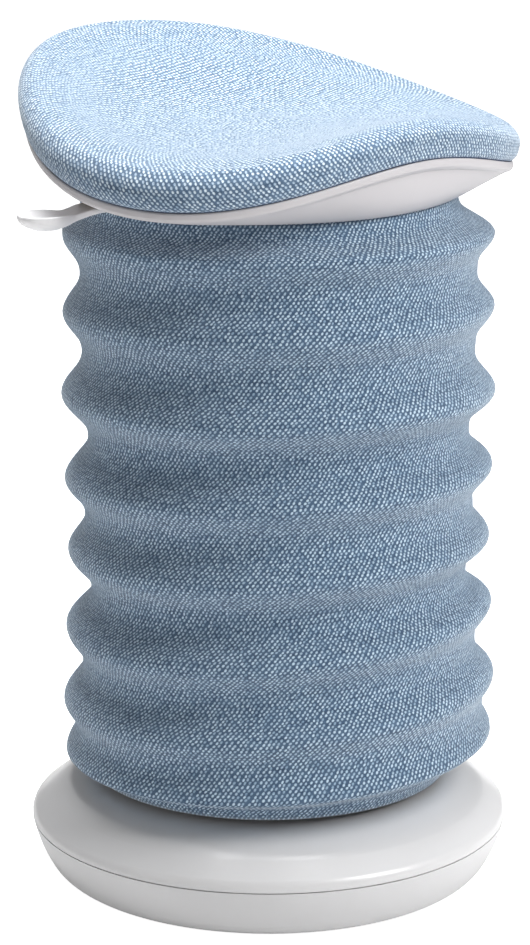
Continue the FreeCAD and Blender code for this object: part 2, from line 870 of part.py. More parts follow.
def flank_point(angle, share, depth):
    """A point of the shell's flank, from its round foot (share 0) up to the rim (share 1), at a depth into the wall."""
    rim_inset = shell_rim_tuck
    reach = series(reach_terms, angle)
    rim = seat_point(angle, 1.0, rim_inset, -shell_rim_depth)
    width = reach - rim_inset - shell_foot_radius
    height = rim.z - shell_foot_z
    radius = shell_foot_radius + width * share
    z = shell_foot_z + height * share ** shell_flank_power
    slope = math.atan2(height * shell_flank_power * share ** (shell_flank_power - 1), width)
    radius -= depth * math.sin(slope)
    z += depth * math.cos(slope)
    return Vector(-radius * math.sin(angle), -radius * math.cos(angle), z)


def level_ring(radius, z):
    """A flat round loop about the axis, made like the other loops of the seat."""
    angles = [2 * math.pi * i / seat_loop_points for i in range(seat_loop_points)]
    return closed_curve([Vector(-radius * math.sin(t), -radius * math.cos(t), z) for t in angles])


def flank_loop(share, depth):
    return closed_curve([flank_point(2 * math.pi * i / seat_loop_points, share, depth)
                         for i in range(seat_loop_points)])


def rim_levels():
    """Insets and heights up the rolled rim: round from its tucked edge, then over its top edge."""
    steps = [math.radians(30 * i) for i in range(4)]
    rolled = [(shell_rim_tuck * (1 - math.sin(step)), -shell_rim_depth + shell_rim_roll * (1 - math.cos(step)))
              for step in steps[1:]]
    return rolled + [(shell_top_round * (1 - math.cos(step)), -shell_top_round * (1 - math.sin(step)))
                     for step in steps]


def seat_shell():
    """The moulded outer shell: a rolled rim over a flank that narrows to a round foot."""
    shares = (0.12, 0.3, 0.6, 0.85)
    rim_edge = seat_loop(1.0, shell_rim_tuck, -shell_rim_depth)
    well_edge = seat_loop(1.0, shell_rim_wall, 0.0)
    ledge_corner = seat_loop(1.0, shell_rim_wall, -board_thickness - seat_gap)
    ledge_edge = seat_loop(1.0, shell_rim_wall + shell_ledge, -board_thickness - seat_gap)
    ledge_under = seat_loop(1.0, shell_rim_wall + shell_ledge, -board_thickness - seat_gap - shell_wall)
    outer_foot = level_ring(shell_foot_radius, shell_foot_z)
    inner_foot = level_ring(shell_foot_radius, shell_foot_z + shell_wall)
    faces = Part.makeLoft([outer_foot] + [flank_loop(share, 0.0) for share in shares] + [rim_edge], False, False).Faces
    rim = [rim_edge] + [seat_loop(1.0, inset, height) for inset, height in rim_levels()]
    faces += Part.makeLoft(rim + [well_edge, ledge_corner, ledge_edge, ledge_under], False, True).Faces
    inner = [flank_loop(share, shell_wall) for share in shares]
    faces += Part.makeLoft([ledge_under] + inner[::-1] + [inner_foot], False, True).Faces
    hole = shell_foot_radius - shell_flange_width
    low = level_ring(hole, shell_foot_z)
    high = level_ring(hole, shell_foot_z + shell_wall)
    for outer_loop, inner_loop in ((outer_foot, low), (inner_foot, high)):
        faces += Part.makeFace([outer_loop, inner_loop], "Part::FaceMakerBullseye").Faces
    faces += Part.makeLoft([low, high], False, True).Faces
    body = sewn(faces)
    boss_top = shell_foot_z + shell_wall + shell_boss_height
    for x, y in collar_posts():
        body = body.fuse(rod_at(top_ring_post_radius - 1, x, y, shell_foot_z, boss_top))
    for x, y in collar_posts():
        body = body.cut(rod_at(cover_screw_radius, x, y, shell_foot_z - 1, boss_top + 1))
    width = lever_width + 2 * lever_notch_gap
    notch_low = shell_foot_z - shell_wall
    reach = max(seat_reach) + lever_width
    swing = (max(seat_reach) - lever_pivot_reach) * math.tan(math.radians(lever_swing_deg))
    notch_high = lever_bottom_z + lever_thickness + swing + part_gap
    notch = Part.makeBox(reach, width, notch_high - notch_low, Vector(-reach, -width / 2, notch_low))
    return body.cut(along_lever(notch))


def space_over(skin, edge):
    """Everything straight above a skin of the board, to trim posts that end on it."""
    top = seat_loop_at(1.0, seat_middle_z + 2 * max(seat_rise))
    walls = Part.makeLoft([seat_loop(*edge), top], False, True).Faces
    return sewn(skin + walls + [Part.Face(top)])


def seat_board():
    """The saddle-shaped board under the pad, with the bosses that the seat bolts screw into."""
    top_edge = (1.0, board_edge_inset, 0.0)
    low_edge = (1.0, board_edge_inset, -board_thickness)
    faces = seat_skin(saddle_levels(top_edge, 0.0), 0.0)
    faces += seat_skin(saddle_levels(low_edge, -board_thickness), -board_thickness)
    faces += Part.makeLoft([seat_loop(*low_edge), seat_loop(*top_edge)], False, True).Faces
    body = sewn(faces)
    half = -board_thickness / 2
    edge = (1.0, board_edge_inset, half)
    over = space_over(seat_skin(saddle_levels(edge, half), half), edge)
    ceiling = seat_middle_z + max(seat_rise)
    for x, y in bolt_corners():
        body = body.fuse(rod_at(board_boss_radius, x, y, plate_top_z, ceiling).cut(over))
    for x, y in bolt_corners():
        body = body.cut(rod_at(m6_radius, x, y, plate_top_z - 1, plate_bottom_z + seat_bolt_length + 1))
    return body


def bolt_corners():
    return [(sx * seat_bolt_x, sy * seat_bolt_y) for sx in (-1, 1) for sy in (-1, 1)]


# Seat mechanism

def mechanism_plate():
    """The pressed plate under the shell, flanged down along its long sides."""
    body = Part.makeBox(plate_length, plate_width, plate_thickness,
                        Vector(-plate_length / 2, -plate_width / 2, plate_bottom_z))
    for side in (-1, 1):
        flange_y = side * (plate_width - plate_thickness) / 2 - plate_thickness / 2
        body = body.fuse(Part.makeBox(plate_length, plate_thickness, plate_flange,
                                      Vector(-plate_length / 2, flange_y, plate_bottom_z - plate_flange)))
    body = body.cut(disc(plate_hole_radius, plate_bottom_z - 1, plate_top_z + 1))
    for x, y in bolt_corners():
        body = body.cut(rod_at(m6_radius + screw_clearance, x, y, plate_bottom_z - 1, plate_top_z + 1))
    return body


def taper_socket():
    """The tapered sleeve under the plate that sits on the cylinder's head."""
    bottom = cylinder_top_z - taper_length
    outer = cylinder_radius + socket_wall
    return turned([
        (cylinder_taper_radius(bottom), bottom),
        (outer, bottom),
        (outer, plate_bottom_z - 6),
        (outer + 6, plate_bottom_z),
        (cylinder_taper_radius(cylinder_top_z), plate_bottom_z),
        (cylinder_taper_radius(cylinder_top_z), cylinder_top_z),
    ])


def seat_bolts():
    """Cap-headed bolts up through the plate into the shell's bosses."""
    bolts = []
    for x, y in bolt_corners():
        bolt = socket_bolt(0, 0, 0, seat_bolt_length)
        bolt.rotate(origin, Vector(1, 0, 0), 180)
        bolt.translate(Vector(x, y, plate_bottom_z))
        bolts.append(bolt)
    return group(bolts)


def along_lever(body):
    """Turns a body made along -X into the lever's own direction."""
    body.rotate(origin, axis_up, -lever_angle_deg)
    return body


def pin_z():
    return lever_bottom_z + lever_thickness / 2


def lever_bracket():
    """Two ears on the plate, one each side of the lever."""
    ears = []
    for side in (-1, 1):
        inner = side * (lever_width / 2 + part_gap)
        low_y = min(inner, inner + side * ear_thickness)
        ear = Part.makeBox(ear_length, ear_thickness, ear_height,
                           Vector(-lever_pivot_reach - ear_length / 2, low_y, plate_top_z))
        hole = Part.makeCylinder(lever_pin_radius, lever_width * 2,
                                 Vector(-lever_pivot_reach, -lever_width, pin_z()), Vector(0, 1, 0))
        ears.append(ear.cut(hole))
    return along_lever(group(ears))


def lever_pin():
    half = lever_width / 2 + part_gap + ear_thickness + 1
    return along_lever(Part.makeCylinder(lever_pin_radius, 2 * half,
                                         Vector(-lever_pivot_reach, -half, pin_z()), Vector(0, 1, 0)))


def lever_arm():
    """The flat bar from over the valve button, through the bracket, to the paddle."""
    low = lever_bottom_z
    high = low + lever_thickness
    end = paddle_reach - lever_socket_depth
    outline = [
        (lever_tail, low), (-lever_bend_reach, low), (-end, low + lever_rise),
        (-end, high + lever_rise), (-lever_bend_reach, high), (lever_tail, high),
    ]
    corners = [Vector(x, -lever_width / 2, z) for x, z in outline]
    bar = Part.Face(Part.makePolygon(corners + [corners[0]])).extrude(Vector(0, lever_width, 0))
    hole = Part.makeCylinder(lever_pin_radius + running_gap, lever_width + 2,
                             Vector(-lever_pivot_reach, -lever_width / 2 - 1, pin_z()), Vector(0, 1, 0))
    return along_lever(bar.cut(hole).cut(paddle_body()))


def paddle_body():
    """The grip's plain form along -X: the lower half of a rounded spoon with a dished top."""
    ball = Part.makeSphere(1.0)
    stretch = FreeCAD.Matrix()
    stretch.A11 = paddle_half_length
    stretch.A22 = paddle_half_width
    stretch.A33 = paddle_depth
    spoon = ball.transformGeometry(stretch)
    keep = Part.makeBox(4 * paddle_half_length, 4 * paddle_half_width, 2 * paddle_depth,
                        Vector(-2 * paddle_half_length, -2 * paddle_half_width, -2 * paddle_depth))
    spoon = spoon.common(keep)
    spoon.translate(Vector(-paddle_reach, 0, paddle_z))
    return spoon


def lever_paddle():
    return along_lever(paddle_body())


def build():
    """Every node by name."""
    nodes = {
        "rocker_sole": rocker_sole(),
        "base_bowl": base_bowl(),
        "base_cover": base_cover(),
        "cover_screws": cover_screws(),
        "ballast_disc": ballast_disc(),
        "ballast_bolts": ballast_bolts(),
        "column_hub": column_hub(),
        "hub_bolts": hub_bolts(),
        "stand_tube": stand_tube(),
        "guide_bush": guide_bush(),
        "bearing_lower_washer": lower_washer(),
        "bearing_cage": ball_cage(),
        "bearing_balls": bearing_balls(),
        "bearing_upper_washer": upper_washer(),
        "piston_rod": piston_rod(),
        "rod_clip": rod_clip(),
        "rod_bumper": rod_bumper(),
        "gas_piston": gas_piston(),
        "gas_cylinder": gas_cylinder(),
        "cylinder_gland": cylinder_gland(),
        "valve_button": valve_button(),
        "glide_ring": glide_ring(),
        "bellows_carrier": bellows_carrier(),
        "bellows_fabric": bellows_fabric(),
        "top_collar": top_collar(),
        "collar_screws": collar_screws(),
        "seat_shell": seat_shell(),
        "seat_board": seat_board(),
        "seat_pad": seat_pad(),
        "seat_cover": seat_cover(),
        "mechanism_plate": mechanism_plate(),
        "taper_socket": taper_socket(),
        "seat_bolts": seat_bolts(),
        "lever_bracket": lever_bracket(),
        "lever_pin": lever_pin(),
        "lever_arm": lever_arm(),
        "lever_paddle": lever_paddle(),
    }
    for i in range(len(crest_z)):
        nodes["hoop_%d" % (i + 1)] = bellows_hoop(i)
    return nodes


os.makedirs("parts", exist_ok=True)
for name, shape in build().items():
    shape.exportStep("parts/%s.step" % name)
    print(name, "solids", len(shape.Solids), "valid", shape.isValid(), "volume cm3", round(shape.Volume / 1000, 2))
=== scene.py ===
# %% [markdown]
# # A wobble stool in heathered knit
#
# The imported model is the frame: every piece here sits where the frame says, in metres,
# with +Z up, the front of the seat towards -Y and the sitter's right towards -X.
# The soft pieces are modelled again in mesh code, because cloth needs folds, stitches and
# a little slack that a solid doesn't have. The rigid pieces stay and get their materials.

# %%
import json
import math

import bpy
import numpy as np
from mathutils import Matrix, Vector, noise


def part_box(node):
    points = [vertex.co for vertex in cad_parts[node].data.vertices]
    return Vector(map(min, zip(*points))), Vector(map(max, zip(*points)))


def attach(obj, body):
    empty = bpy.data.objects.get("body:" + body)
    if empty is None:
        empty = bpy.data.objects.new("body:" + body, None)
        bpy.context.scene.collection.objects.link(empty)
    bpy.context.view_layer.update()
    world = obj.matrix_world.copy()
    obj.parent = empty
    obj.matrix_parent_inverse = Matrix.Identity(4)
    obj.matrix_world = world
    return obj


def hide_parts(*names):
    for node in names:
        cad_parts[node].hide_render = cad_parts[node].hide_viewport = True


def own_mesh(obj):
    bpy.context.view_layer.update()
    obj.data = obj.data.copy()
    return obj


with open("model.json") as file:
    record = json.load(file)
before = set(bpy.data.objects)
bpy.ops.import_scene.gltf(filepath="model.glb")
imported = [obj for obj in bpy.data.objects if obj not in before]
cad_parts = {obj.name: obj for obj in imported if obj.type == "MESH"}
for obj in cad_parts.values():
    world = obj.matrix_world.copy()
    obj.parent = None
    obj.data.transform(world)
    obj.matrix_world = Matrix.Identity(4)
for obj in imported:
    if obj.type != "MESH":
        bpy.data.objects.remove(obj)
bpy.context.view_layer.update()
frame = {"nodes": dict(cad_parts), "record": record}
nodes = frame["nodes"]

# %% [markdown]
# ## Camera
#
# The photograph was taken with a long lens from the sitter's front right, a little above the
# seat. The lens is worked out from its focal length in pixels and the picture's longer side.

# %%
picture_height = 945
focal_pixels = 3567.4
camera_distance = 2.643
camera_height = 1.029
camera_azimuth_deg = -43.6
camera_swing_deg = 0.064
camera_pitch_deg = 15.065

scene = bpy.context.scene
camera_data = bpy.data.cameras.new("camera")
camera = bpy.data.objects.new("camera", camera_data)
scene.collection.objects.link(camera)
scene.camera = camera
azimuth = math.radians(camera_azimuth_deg)
camera.location = (
    camera_distance * math.sin(azimuth), -camera_distance * math.cos(azimuth), camera_height)
camera.rotation_euler = (
    math.radians(90 - camera_pitch_deg), 0, azimuth + math.radians(camera_swing_deg))
camera_data.sensor_width = 36
camera_data.lens = focal_pixels / picture_height * camera_data.sensor_width
camera_data.clip_start = 0.1
camera_data.clip_end = 60
towards_camera = Vector((math.sin(azimuth), -math.cos(azimuth), 0))
picture_right = Vector((-towards_camera.y, towards_camera.x, 0))
print("lens in mm:", round(camera_data.lens, 1))
print("picture right:", [round(c, 3) for c in picture_right])

# %% [markdown]
# ## Node helpers
#
# A material here is a Principled shader fed by a small node group. A group takes plain
# values and gives back colours, masks or heights, so the same knit can dress the seat and
# the bellows. `Graph` only saves typing: it adds a node, sets what it is given and links the rest.

# %%
class Graph:
    def __init__(self, tree):
        self.tree = tree

    def put(self, target, value):
        if isinstance(value, bpy.types.NodeSocket):
            self.tree.links.new(value, target)
        else:
            target.default_value = value

    def add(self, kind, *inputs, **settings):
        node = self.tree.nodes.new(kind)
        for name, value in settings.items():
            setattr(node, name, value)
        for i, value in enumerate(inputs):
            if value is not None:
                self.put(node.inputs[i], value)
        return node

    def math(self, operation, *inputs):
        return self.add("ShaderNodeMath", *inputs, operation=operation).outputs[0]

    def blend(self, share, first, second):
        node = self.add("ShaderNodeMix", data_type="RGBA")
        self.put(node.inputs["Factor"], share)
        self.put(node.inputs["A"], first)
        self.put(node.inputs["B"], second)
        return node.outputs["Result"]

    def noise(self, place, scale, detail=2.0, rough=0.5):
        node = self.add("ShaderNodeTexNoise")
        self.put(node.inputs["Vector"], place)
        node.inputs["Scale"].default_value = scale
        node.inputs["Detail"].default_value = detail
        node.inputs["Roughness"].default_value = rough
        return node.outputs["Fac"]

    def remap(self, value, low, high, to_low, to_high, smooth=False):
        node = self.add("ShaderNodeMapRange", value, low, high, to_low, to_high)
        if smooth:
            node.interpolation_type = "SMOOTHSTEP"
        return node.outputs[0]


def new_group(name, inputs, outputs):
    """A node group with its sockets; gives the graph, its inputs and its outputs."""
    tree = bpy.data.node_groups.new(name, "ShaderNodeTree")
    for label, kind, value in inputs:
        socket = tree.interface.new_socket(label, in_out="INPUT", socket_type=kind)
        if value is not None:
            socket.default_value = value
    for label, kind in outputs:
        tree.interface.new_socket(label, in_out="OUTPUT", socket_type=kind)
    entry = tree.nodes.new("NodeGroupInput")
    leave = tree.nodes.new("NodeGroupOutput")
    return Graph(tree), entry.outputs, leave.inputs


def new_material(name):
    """A material with its Principled shader and graph."""
    material = bpy.data.materials.new(name)
    material.use_nodes = True
    tree = material.node_tree
    return material, Graph(tree), tree.nodes["Principled BSDF"]


def use_group(graph, tree, **values):
    node = graph.add("ShaderNodeGroup")
    node.node_tree = tree
    for label, value in values.items():
        graph.put(node.inputs[label.replace("_", " ")], value)
    return node


print("helpers ready")

# %% [markdown]
# ## Knit
#
# The fabric is a melange jersey: rows of slanted loops, each row set half a loop along from the
# one below. A loop is a pale slanted oval on a dark ground, set a little off its place. Each
# takes its own shade from its cell number, and slow streaks run through the shades, which gives
# the heathered look. The height of the oval drives the bump. The map coordinates are in metres,
# so a loop keeps its real width on every piece.

# %%
loop_width = 0.0038
loop_height = 0.0024
loop_slant = 0.20          # sideways lean, in loops
loop_half_width = 0.28     # of the oval, in loops
loop_half_height = 0.54
row_wander = 0.0022        # how far the rows bend off their line, in metres
wander_scale = 90.0
streak_stretch = (60.0, 260.0, 60.0)
fibre_scale = 1100.0
# The seat and the bellows are one fabric. The seat's colours are lighter, painted light for its
# bright top, and the bellows' are darker, painted shade for their shaded folds.
seat_lit_colors = {
    "pale": (0.66, 0.77, 0.86, 1),
    "middle": (0.23, 0.35, 0.50, 1),
    "ground": (0.020, 0.050, 0.105, 1),
}
bellows_shaded_colors = {
    "pale": (0.55, 0.68, 0.79, 1),
    "middle": (0.165, 0.27, 0.40, 1),
    "ground": (0.014, 0.038, 0.085, 1),
}

knit, k_in, k_out = new_group(
    "knit_loops",
    [("Place", "NodeSocketVector", None),
     ("Width", "NodeSocketFloat", loop_width),
     ("Height", "NodeSocketFloat", loop_height),
     ("Pale", "NodeSocketColor", seat_lit_colors["pale"]),
     ("Middle", "NodeSocketColor", seat_lit_colors["middle"]),
     ("Ground", "NodeSocketColor", seat_lit_colors["ground"])],
    [("Color", "NodeSocketColor"), ("Relief", "NodeSocketFloat"), ("Rough", "NodeSocketFloat")])
wander = knit.add("ShaderNodeTexNoise")
knit.put(wander.inputs["Vector"], k_in["Place"])
wander.inputs["Scale"].default_value = wander_scale
wander.inputs["Detail"].default_value = 2.0
centred = knit.add(
    "ShaderNodeVectorMath", wander.outputs["Color"], (0.5, 0.5, 0.5), operation="SUBTRACT")
shift = knit.add("ShaderNodeVectorMath", centred.outputs[0], operation="SCALE")
shift.inputs["Scale"].default_value = row_wander
place = knit.add(
    "ShaderNodeVectorMath", k_in["Place"], shift.outputs[0], operation="ADD").outputs[0]
along = knit.add("ShaderNodeSeparateXYZ", place).outputs
row_place = knit.math("DIVIDE", along[1], k_in["Height"])
row = knit.math("FLOOR", row_place)
half_step = knit.math("MULTIPLY", knit.math("MODULO", row, 2.0), 0.5)
column_place = knit.math("ADD", knit.math("DIVIDE", along[0], k_in["Width"]), half_step)
column = knit.math("FLOOR", column_place)
cell = knit.add("ShaderNodeCombineXYZ", column, row, 0.0).outputs[0]
chance = knit.add("ShaderNodeTexWhiteNoise", cell)
luck = knit.add("ShaderNodeSeparateColor", chance.outputs["Color"]).outputs
side_step = knit.math("MULTIPLY_ADD", luck[0], 0.30, 0.35)
rise_step = knit.math("MULTIPLY_ADD", luck[1], 0.34, 0.33)
across = knit.math("SUBTRACT", knit.math("FRACT", column_place), side_step)
up = knit.math("SUBTRACT", knit.math("FRACT", row_place), rise_step)
slant = knit.math("MULTIPLY_ADD", up, -loop_slant, across)
oval = knit.math("ADD",
                 knit.math("POWER", knit.math("DIVIDE", slant, loop_half_width), 2.0),
                 knit.math("POWER", knit.math("DIVIDE", up, loop_half_height), 2.0))
loop = knit.remap(oval, 0.10, 1.30, 1.0, 0.0, smooth=True)
heather = knit.add(
    "ShaderNodeVectorMath", k_in["Place"], streak_stretch, operation="MULTIPLY").outputs[0]
streaks = knit.noise(heather, 1.0, 4.0, 0.6)
own_shade = knit.math("MULTIPLY", chance.outputs["Value"], 0.75)
bright = knit.math("MULTIPLY_ADD", streaks, 0.9, own_shade)
thread = knit.blend(knit.remap(bright, 0.35, 1.10, 0.0, 1.0), k_in["Middle"], k_in["Pale"])
fibre = knit.noise(k_in["Place"], fibre_scale, 3.0, 0.65)
lit_thread = knit.blend(knit.remap(fibre, 0.35, 0.75, 0.0, 0.5), thread, k_in["Pale"])
shadow_mix = knit.math("MULTIPLY_ADD", streaks, 0.7, knit.math("MULTIPLY", fibre, 0.5))
ground = knit.blend(
    knit.remap(shadow_mix, 0.35, 0.85, 0.0, 0.65), k_in["Ground"], k_in["Middle"])
knit.put(k_out["Color"], knit.blend(loop, ground, lit_thread))
knit.put(k_out["Relief"], knit.math("MULTIPLY_ADD", fibre, 0.35, loop))
knit.put(k_out["Rough"], knit.remap(loop, 0.0, 1.0, 0.95, 0.78))
print("knit group:", len(knit.tree.nodes), "nodes")


def knit_material(name, pale, middle, ground, edge_map=None, edge_share=None):
    """Knit for one piece, mapped in metres, with a second map near its edge if it has one."""
    material, graph, shader = new_material(name)
    uv = graph.add("ShaderNodeUVMap", uv_map="metres").outputs[0]
    cloth = use_group(graph, knit.tree, Place=uv, Pale=pale, Middle=middle, Ground=ground)
    color, relief = cloth.outputs["Color"], cloth.outputs["Relief"]
    if edge_map:
        edge_uv = graph.add("ShaderNodeUVMap", uv_map=edge_map).outputs[0]
        edge = use_group(
            graph, knit.tree, Place=edge_uv, Pale=pale, Middle=middle, Ground=ground)
        share = graph.add("ShaderNodeAttribute", attribute_name=edge_share).outputs["Fac"]
        color = graph.blend(share, color, edge.outputs["Color"])
        change = graph.math("SUBTRACT", edge.outputs["Relief"], relief)
        relief = graph.math("ADD", relief, graph.math("MULTIPLY", share, change))
    graph.put(shader.inputs["Base Color"], color)
    graph.put(shader.inputs["Roughness"], cloth.outputs["Rough"])
    shader.inputs["Specular IOR Level"].default_value = 0.2
    shader.inputs["Sheen Weight"].default_value = 0.5
    shader.inputs["Sheen Roughness"].default_value = 0.5
    shader.inputs["Sheen Tint"].default_value = (0.88, 0.94, 1.0, 1)
    bump = graph.add("ShaderNodeBump")
    bump.inputs["Strength"].default_value = 0.5
    bump.inputs["Distance"].default_value = 0.0005
    graph.put(bump.inputs["Height"], relief)
    graph.put(shader.inputs["Normal"], bump.outputs[0])
    return material


# A lighter knit for the seat and a darker one for the bellows: painted light and painted shade on
# one fabric.
seat_knit = knit_material(
    "seat_knit", edge_map="round_edge", edge_share="side_share", **seat_lit_colors)
bellows_knit = knit_material("bellows_knit", **bellows_shaded_colors)

# %% [markdown]
# ## Rigid materials
#
# Moulded plastic is never quite even: a faint mottling in colour and roughness and a very fine
# grain break up its highlights. The same group dresses steel, castings, rubber and wood, with
# more or less mottling and a finer or coarser grain.

# %%
surface, s_in, s_out = new_group(
    "uneven_surface",
    [("Color", "NodeSocketColor", None),
     ("Roughness", "NodeSocketFloat", 0.4),
     ("Mottle", "NodeSocketFloat", 0.04),
     ("Grain", "NodeSocketFloat", 900.0)],
    [("Color", "NodeSocketColor"), ("Roughness", "NodeSocketFloat"), ("Relief", "NodeSocketFloat")])
spot = surface.add("ShaderNodeTexCoord").outputs["Object"]
clouds = surface.noise(spot, 9.0, 4.0, 0.6)
swing = surface.math("MULTIPLY", surface.math("SUBTRACT", clouds, 0.5), s_in["Mottle"])
tint = surface.add("ShaderNodeHueSaturation")
surface.put(tint.inputs["Value"], surface.math("ADD", swing, 1.0))
surface.put(tint.inputs["Color"], s_in["Color"])
surface.put(s_out["Color"], tint.outputs[0])
surface.put(s_out["Roughness"], surface.math("ADD", s_in["Roughness"], swing))
fine = surface.add("ShaderNodeTexNoise")
surface.put(fine.inputs["Vector"], spot)
surface.put(fine.inputs["Scale"], s_in["Grain"])
surface.put(s_out["Relief"], fine.outputs["Fac"])


def rigid_material(name, color, roughness, metallic=0.0, mottle=0.05, grain=900.0,
                   relief=0.00002, coat=0.0):
    """A material for a rigid piece; relief is the depth of its grain in metres."""
    material, graph, shader = new_material(name)
    skin = use_group(
        graph, surface.tree, Color=color, Roughness=roughness, Mottle=mottle, Grain=grain)
    graph.put(shader.inputs["Base Color"], skin.outputs["Color"])
    graph.put(shader.inputs["Roughness"], skin.outputs["Roughness"])
    shader.inputs["Metallic"].default_value = metallic
    shader.inputs["Coat Weight"].default_value = coat
    shader.inputs["Coat Roughness"].default_value = 0.15
    bump = graph.add("ShaderNodeBump")
    bump.inputs["Strength"].default_value = 0.4
    bump.inputs["Distance"].default_value = relief
    graph.put(bump.inputs["Height"], skin.outputs["Relief"])
    graph.put(shader.inputs["Normal"], bump.outputs[0])
    return material


finishes = {
    "base_plastic": rigid_material("base_plastic", (0.66, 0.655, 0.66, 1), 0.32, coat=0.3),
    "shell_plastic": rigid_material("shell_plastic", (0.54, 0.52, 0.535, 1), 0.42, coat=0.1),
    "lever_plastic": rigid_material("lever_plastic", (0.84, 0.83, 0.84, 1), 0.42, coat=0.1),
    "rubber": rigid_material(
        "rubber", (0.02, 0.02, 0.021, 1), 0.75, mottle=0.2, relief=0.00008),
    "iron": rigid_material(
        "iron", (0.06, 0.06, 0.065, 1), 0.6, mottle=0.2, grain=400, relief=0.0002),
    "black_steel": rigid_material(
        "black_steel", (0.025, 0.025, 0.027, 1), 0.38, mottle=0.1, grain=1500),
    "bright_steel": rigid_material(
        "bright_steel", (0.58, 0.58, 0.59, 1), 0.28, metallic=1.0, mottle=0.1),
    "chromed": rigid_material(
        "chromed", (0.66, 0.66, 0.67, 1), 0.08, metallic=1.0, relief=0.000004),
    "inner_plastic": rigid_material("inner_plastic", (0.09, 0.09, 0.10, 1), 0.5, mottle=0.1),
    "board_wood": rigid_material(
        "board_wood", (0.50, 0.34, 0.19, 1), 0.6, mottle=0.35, grain=120, relief=0.0001),
}
slot_of = {part["node"]: part["material_slot"] for part in frame["record"]["subparts"]}
for name, node in nodes.items():
    finish = finishes.get(slot_of[name])
    if finish:
        node.data.materials.clear()
        node.data.materials.append(finish)
print("finishes:", ", ".join(sorted(finishes)))

# %% [markdown]
# ## Mesh helper
#
# Bellows, seat cover, seam and lever are all tubes of rings. `ring_mesh` builds one from a grid
# of points and writes the map in metres. A ring's first and last columns share their vertices but
# not their map.

# %%
def ring_mesh(name, rows, maps, material, cap=None):
    """A round mesh from rows of points, with a map for each point and its wrapped end; a cap is
    a last point, with its map, that closes the last row."""
    count = len(rows[0])
    points = [point for row in rows for point in row]
    faces = []
    corners = []
    for r in range(len(rows) - 1):
        for c in range(count):
            d = (c + 1) % count
            lower, upper = r * count, (r + 1) * count
            faces.append((lower + c, lower + d, upper + d, upper + c))
            corners += [maps[r][c], maps[r][c + 1], maps[r + 1][c + 1], maps[r + 1][c]]
    if cap is not None:
        last = (len(rows) - 1) * count
        points.append(cap[0])
        for c in range(count):
            d = (c + 1) % count
            faces.append((last + c, last + d, len(points) - 1))
            corners += [maps[-1][c], maps[-1][c + 1], cap[1]]
    mesh = bpy.data.meshes.new(name)
    mesh.from_pydata([tuple(p) for p in points], [], faces)
    layer = mesh.uv_layers.new(name="metres")
    for loop_data, place_in_map in zip(layer.data, corners):
        loop_data.uv = place_in_map
    mesh.polygons.foreach_set("use_smooth", [True] * len(faces))
    mesh.materials.append(material)
    mesh.update()
    piece = bpy.data.objects.new(name, mesh)
    scene.collection.objects.link(piece)
    return piece


print("mesh helper ready")

# %% [markdown]
# ## Bellows
#
# The frame's hoops give each crest: its centre, its radius and its tilt, because the folds lean.
# A plane is fitted to each hoop's corners for that. Between two crests the fabric draws in to a
# waist. The cloth follows a cosine swing, raised to a power so that crests are narrower than
# waists. Slow noise makes the crests wander and the waists deepen and ease, and fine creases run
# along the waists where the cloth bunches. The tube is one mesh, carried by the swivel body.
# With the seat fully down the cloth clips all hoops but the lowest.

# %%
fabric_low, fabric_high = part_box("bellows_fabric")
fabric_points = np.array([v.co[:] for v in nodes["bellows_fabric"].data.vertices])
hoop_count = 8
cloth_over_hoop = 0.0030
cloth_over_waist = 0.0024
cloth_thickness = 0.0016
foot_band = 0.0065        # height and flare of the straight stretch at the foot
foot_flare = 0.003
neck_band = 0.0067        # and at the neck
neck_flare = 0.0018
slow_swell = 0.0010
crease_depth = 0.0006
crest_wander = 0.0012
ring_gap = 0.0028
bellows_sides = 288


def hoop_ring(name):
    """A hoop's crest in the cloth: its middle height, radius, centre and slopes along X and Y."""
    points = np.array([v.co[:] for v in nodes[name].data.vertices])
    low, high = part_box(name)
    centre = (low + high) / 2
    flat = points[:, :2] - np.array(centre.xy)
    fit, *_ = np.linalg.lstsq(
        np.column_stack([flat, np.ones(len(flat))]), points[:, 2], rcond=None)
    radius = np.linalg.norm(flat, axis=1).max() + cloth_over_hoop
    return fit[2], radius, Vector((centre.x, centre.y, 0)), Vector((fit[0], fit[1], 0))


def fabric_radius(height, shift, near):
    """The least and greatest radius of the frame's fabric near one height, about a centre."""
    level = fabric_points[np.abs(fabric_points[:, 2] - height) < near]
    reach = np.linalg.norm(level[:, :2] - np.array(shift.xy), axis=1)
    return reach.min(), reach.max()


crests = [hoop_ring("hoop_%d" % i) for i in range(hoop_count, 0, -1)]
level = Vector()
foot = (fabric_low.z, fabric_radius(fabric_low.z, level, 0.001)[1], level, level)
neck = (fabric_high.z, fabric_radius(fabric_high.z, level, 0.001)[1], level, level)
print("foot and neck radius in mm:", round(foot[1] * 1000, 1), round(neck[1] * 1000, 1))


def between(lower, upper, share=0.5):
    """A ring part of the way from one to another."""
    return tuple(a + (b - a) * share for a, b in zip(lower, upper))


def waist_ring(lower, upper):
    """The ring of least radius between two crests."""
    height, radius, shift, slope = between(lower, upper)
    least = fabric_radius(height, shift, 0.016)[0]
    return height, least + cloth_over_waist, shift, slope


stops = [foot, (foot[0] + foot_band, foot[1] + foot_flare, level, level)]
for lower, upper in zip(crests, crests[1:]):
    stops += [lower, waist_ring(lower, upper)]
stops += [crests[-1], (neck[0] - neck_band, neck[1] + neck_flare, level, level), neck]
print("waists in mm:", [round(stop[1] * 1000, 1) for stop in stops[3:-3:2]])


def swing_radius(share, start, end, power):
    """A smooth swing from start to end; power above 1 keeps it near the smaller for longer."""
    swing = (1 - math.cos(math.pi * share)) / 2
    if end > start:
        return start + (end - start) * swing ** power
    return end + (start - end) * (1 - swing) ** power


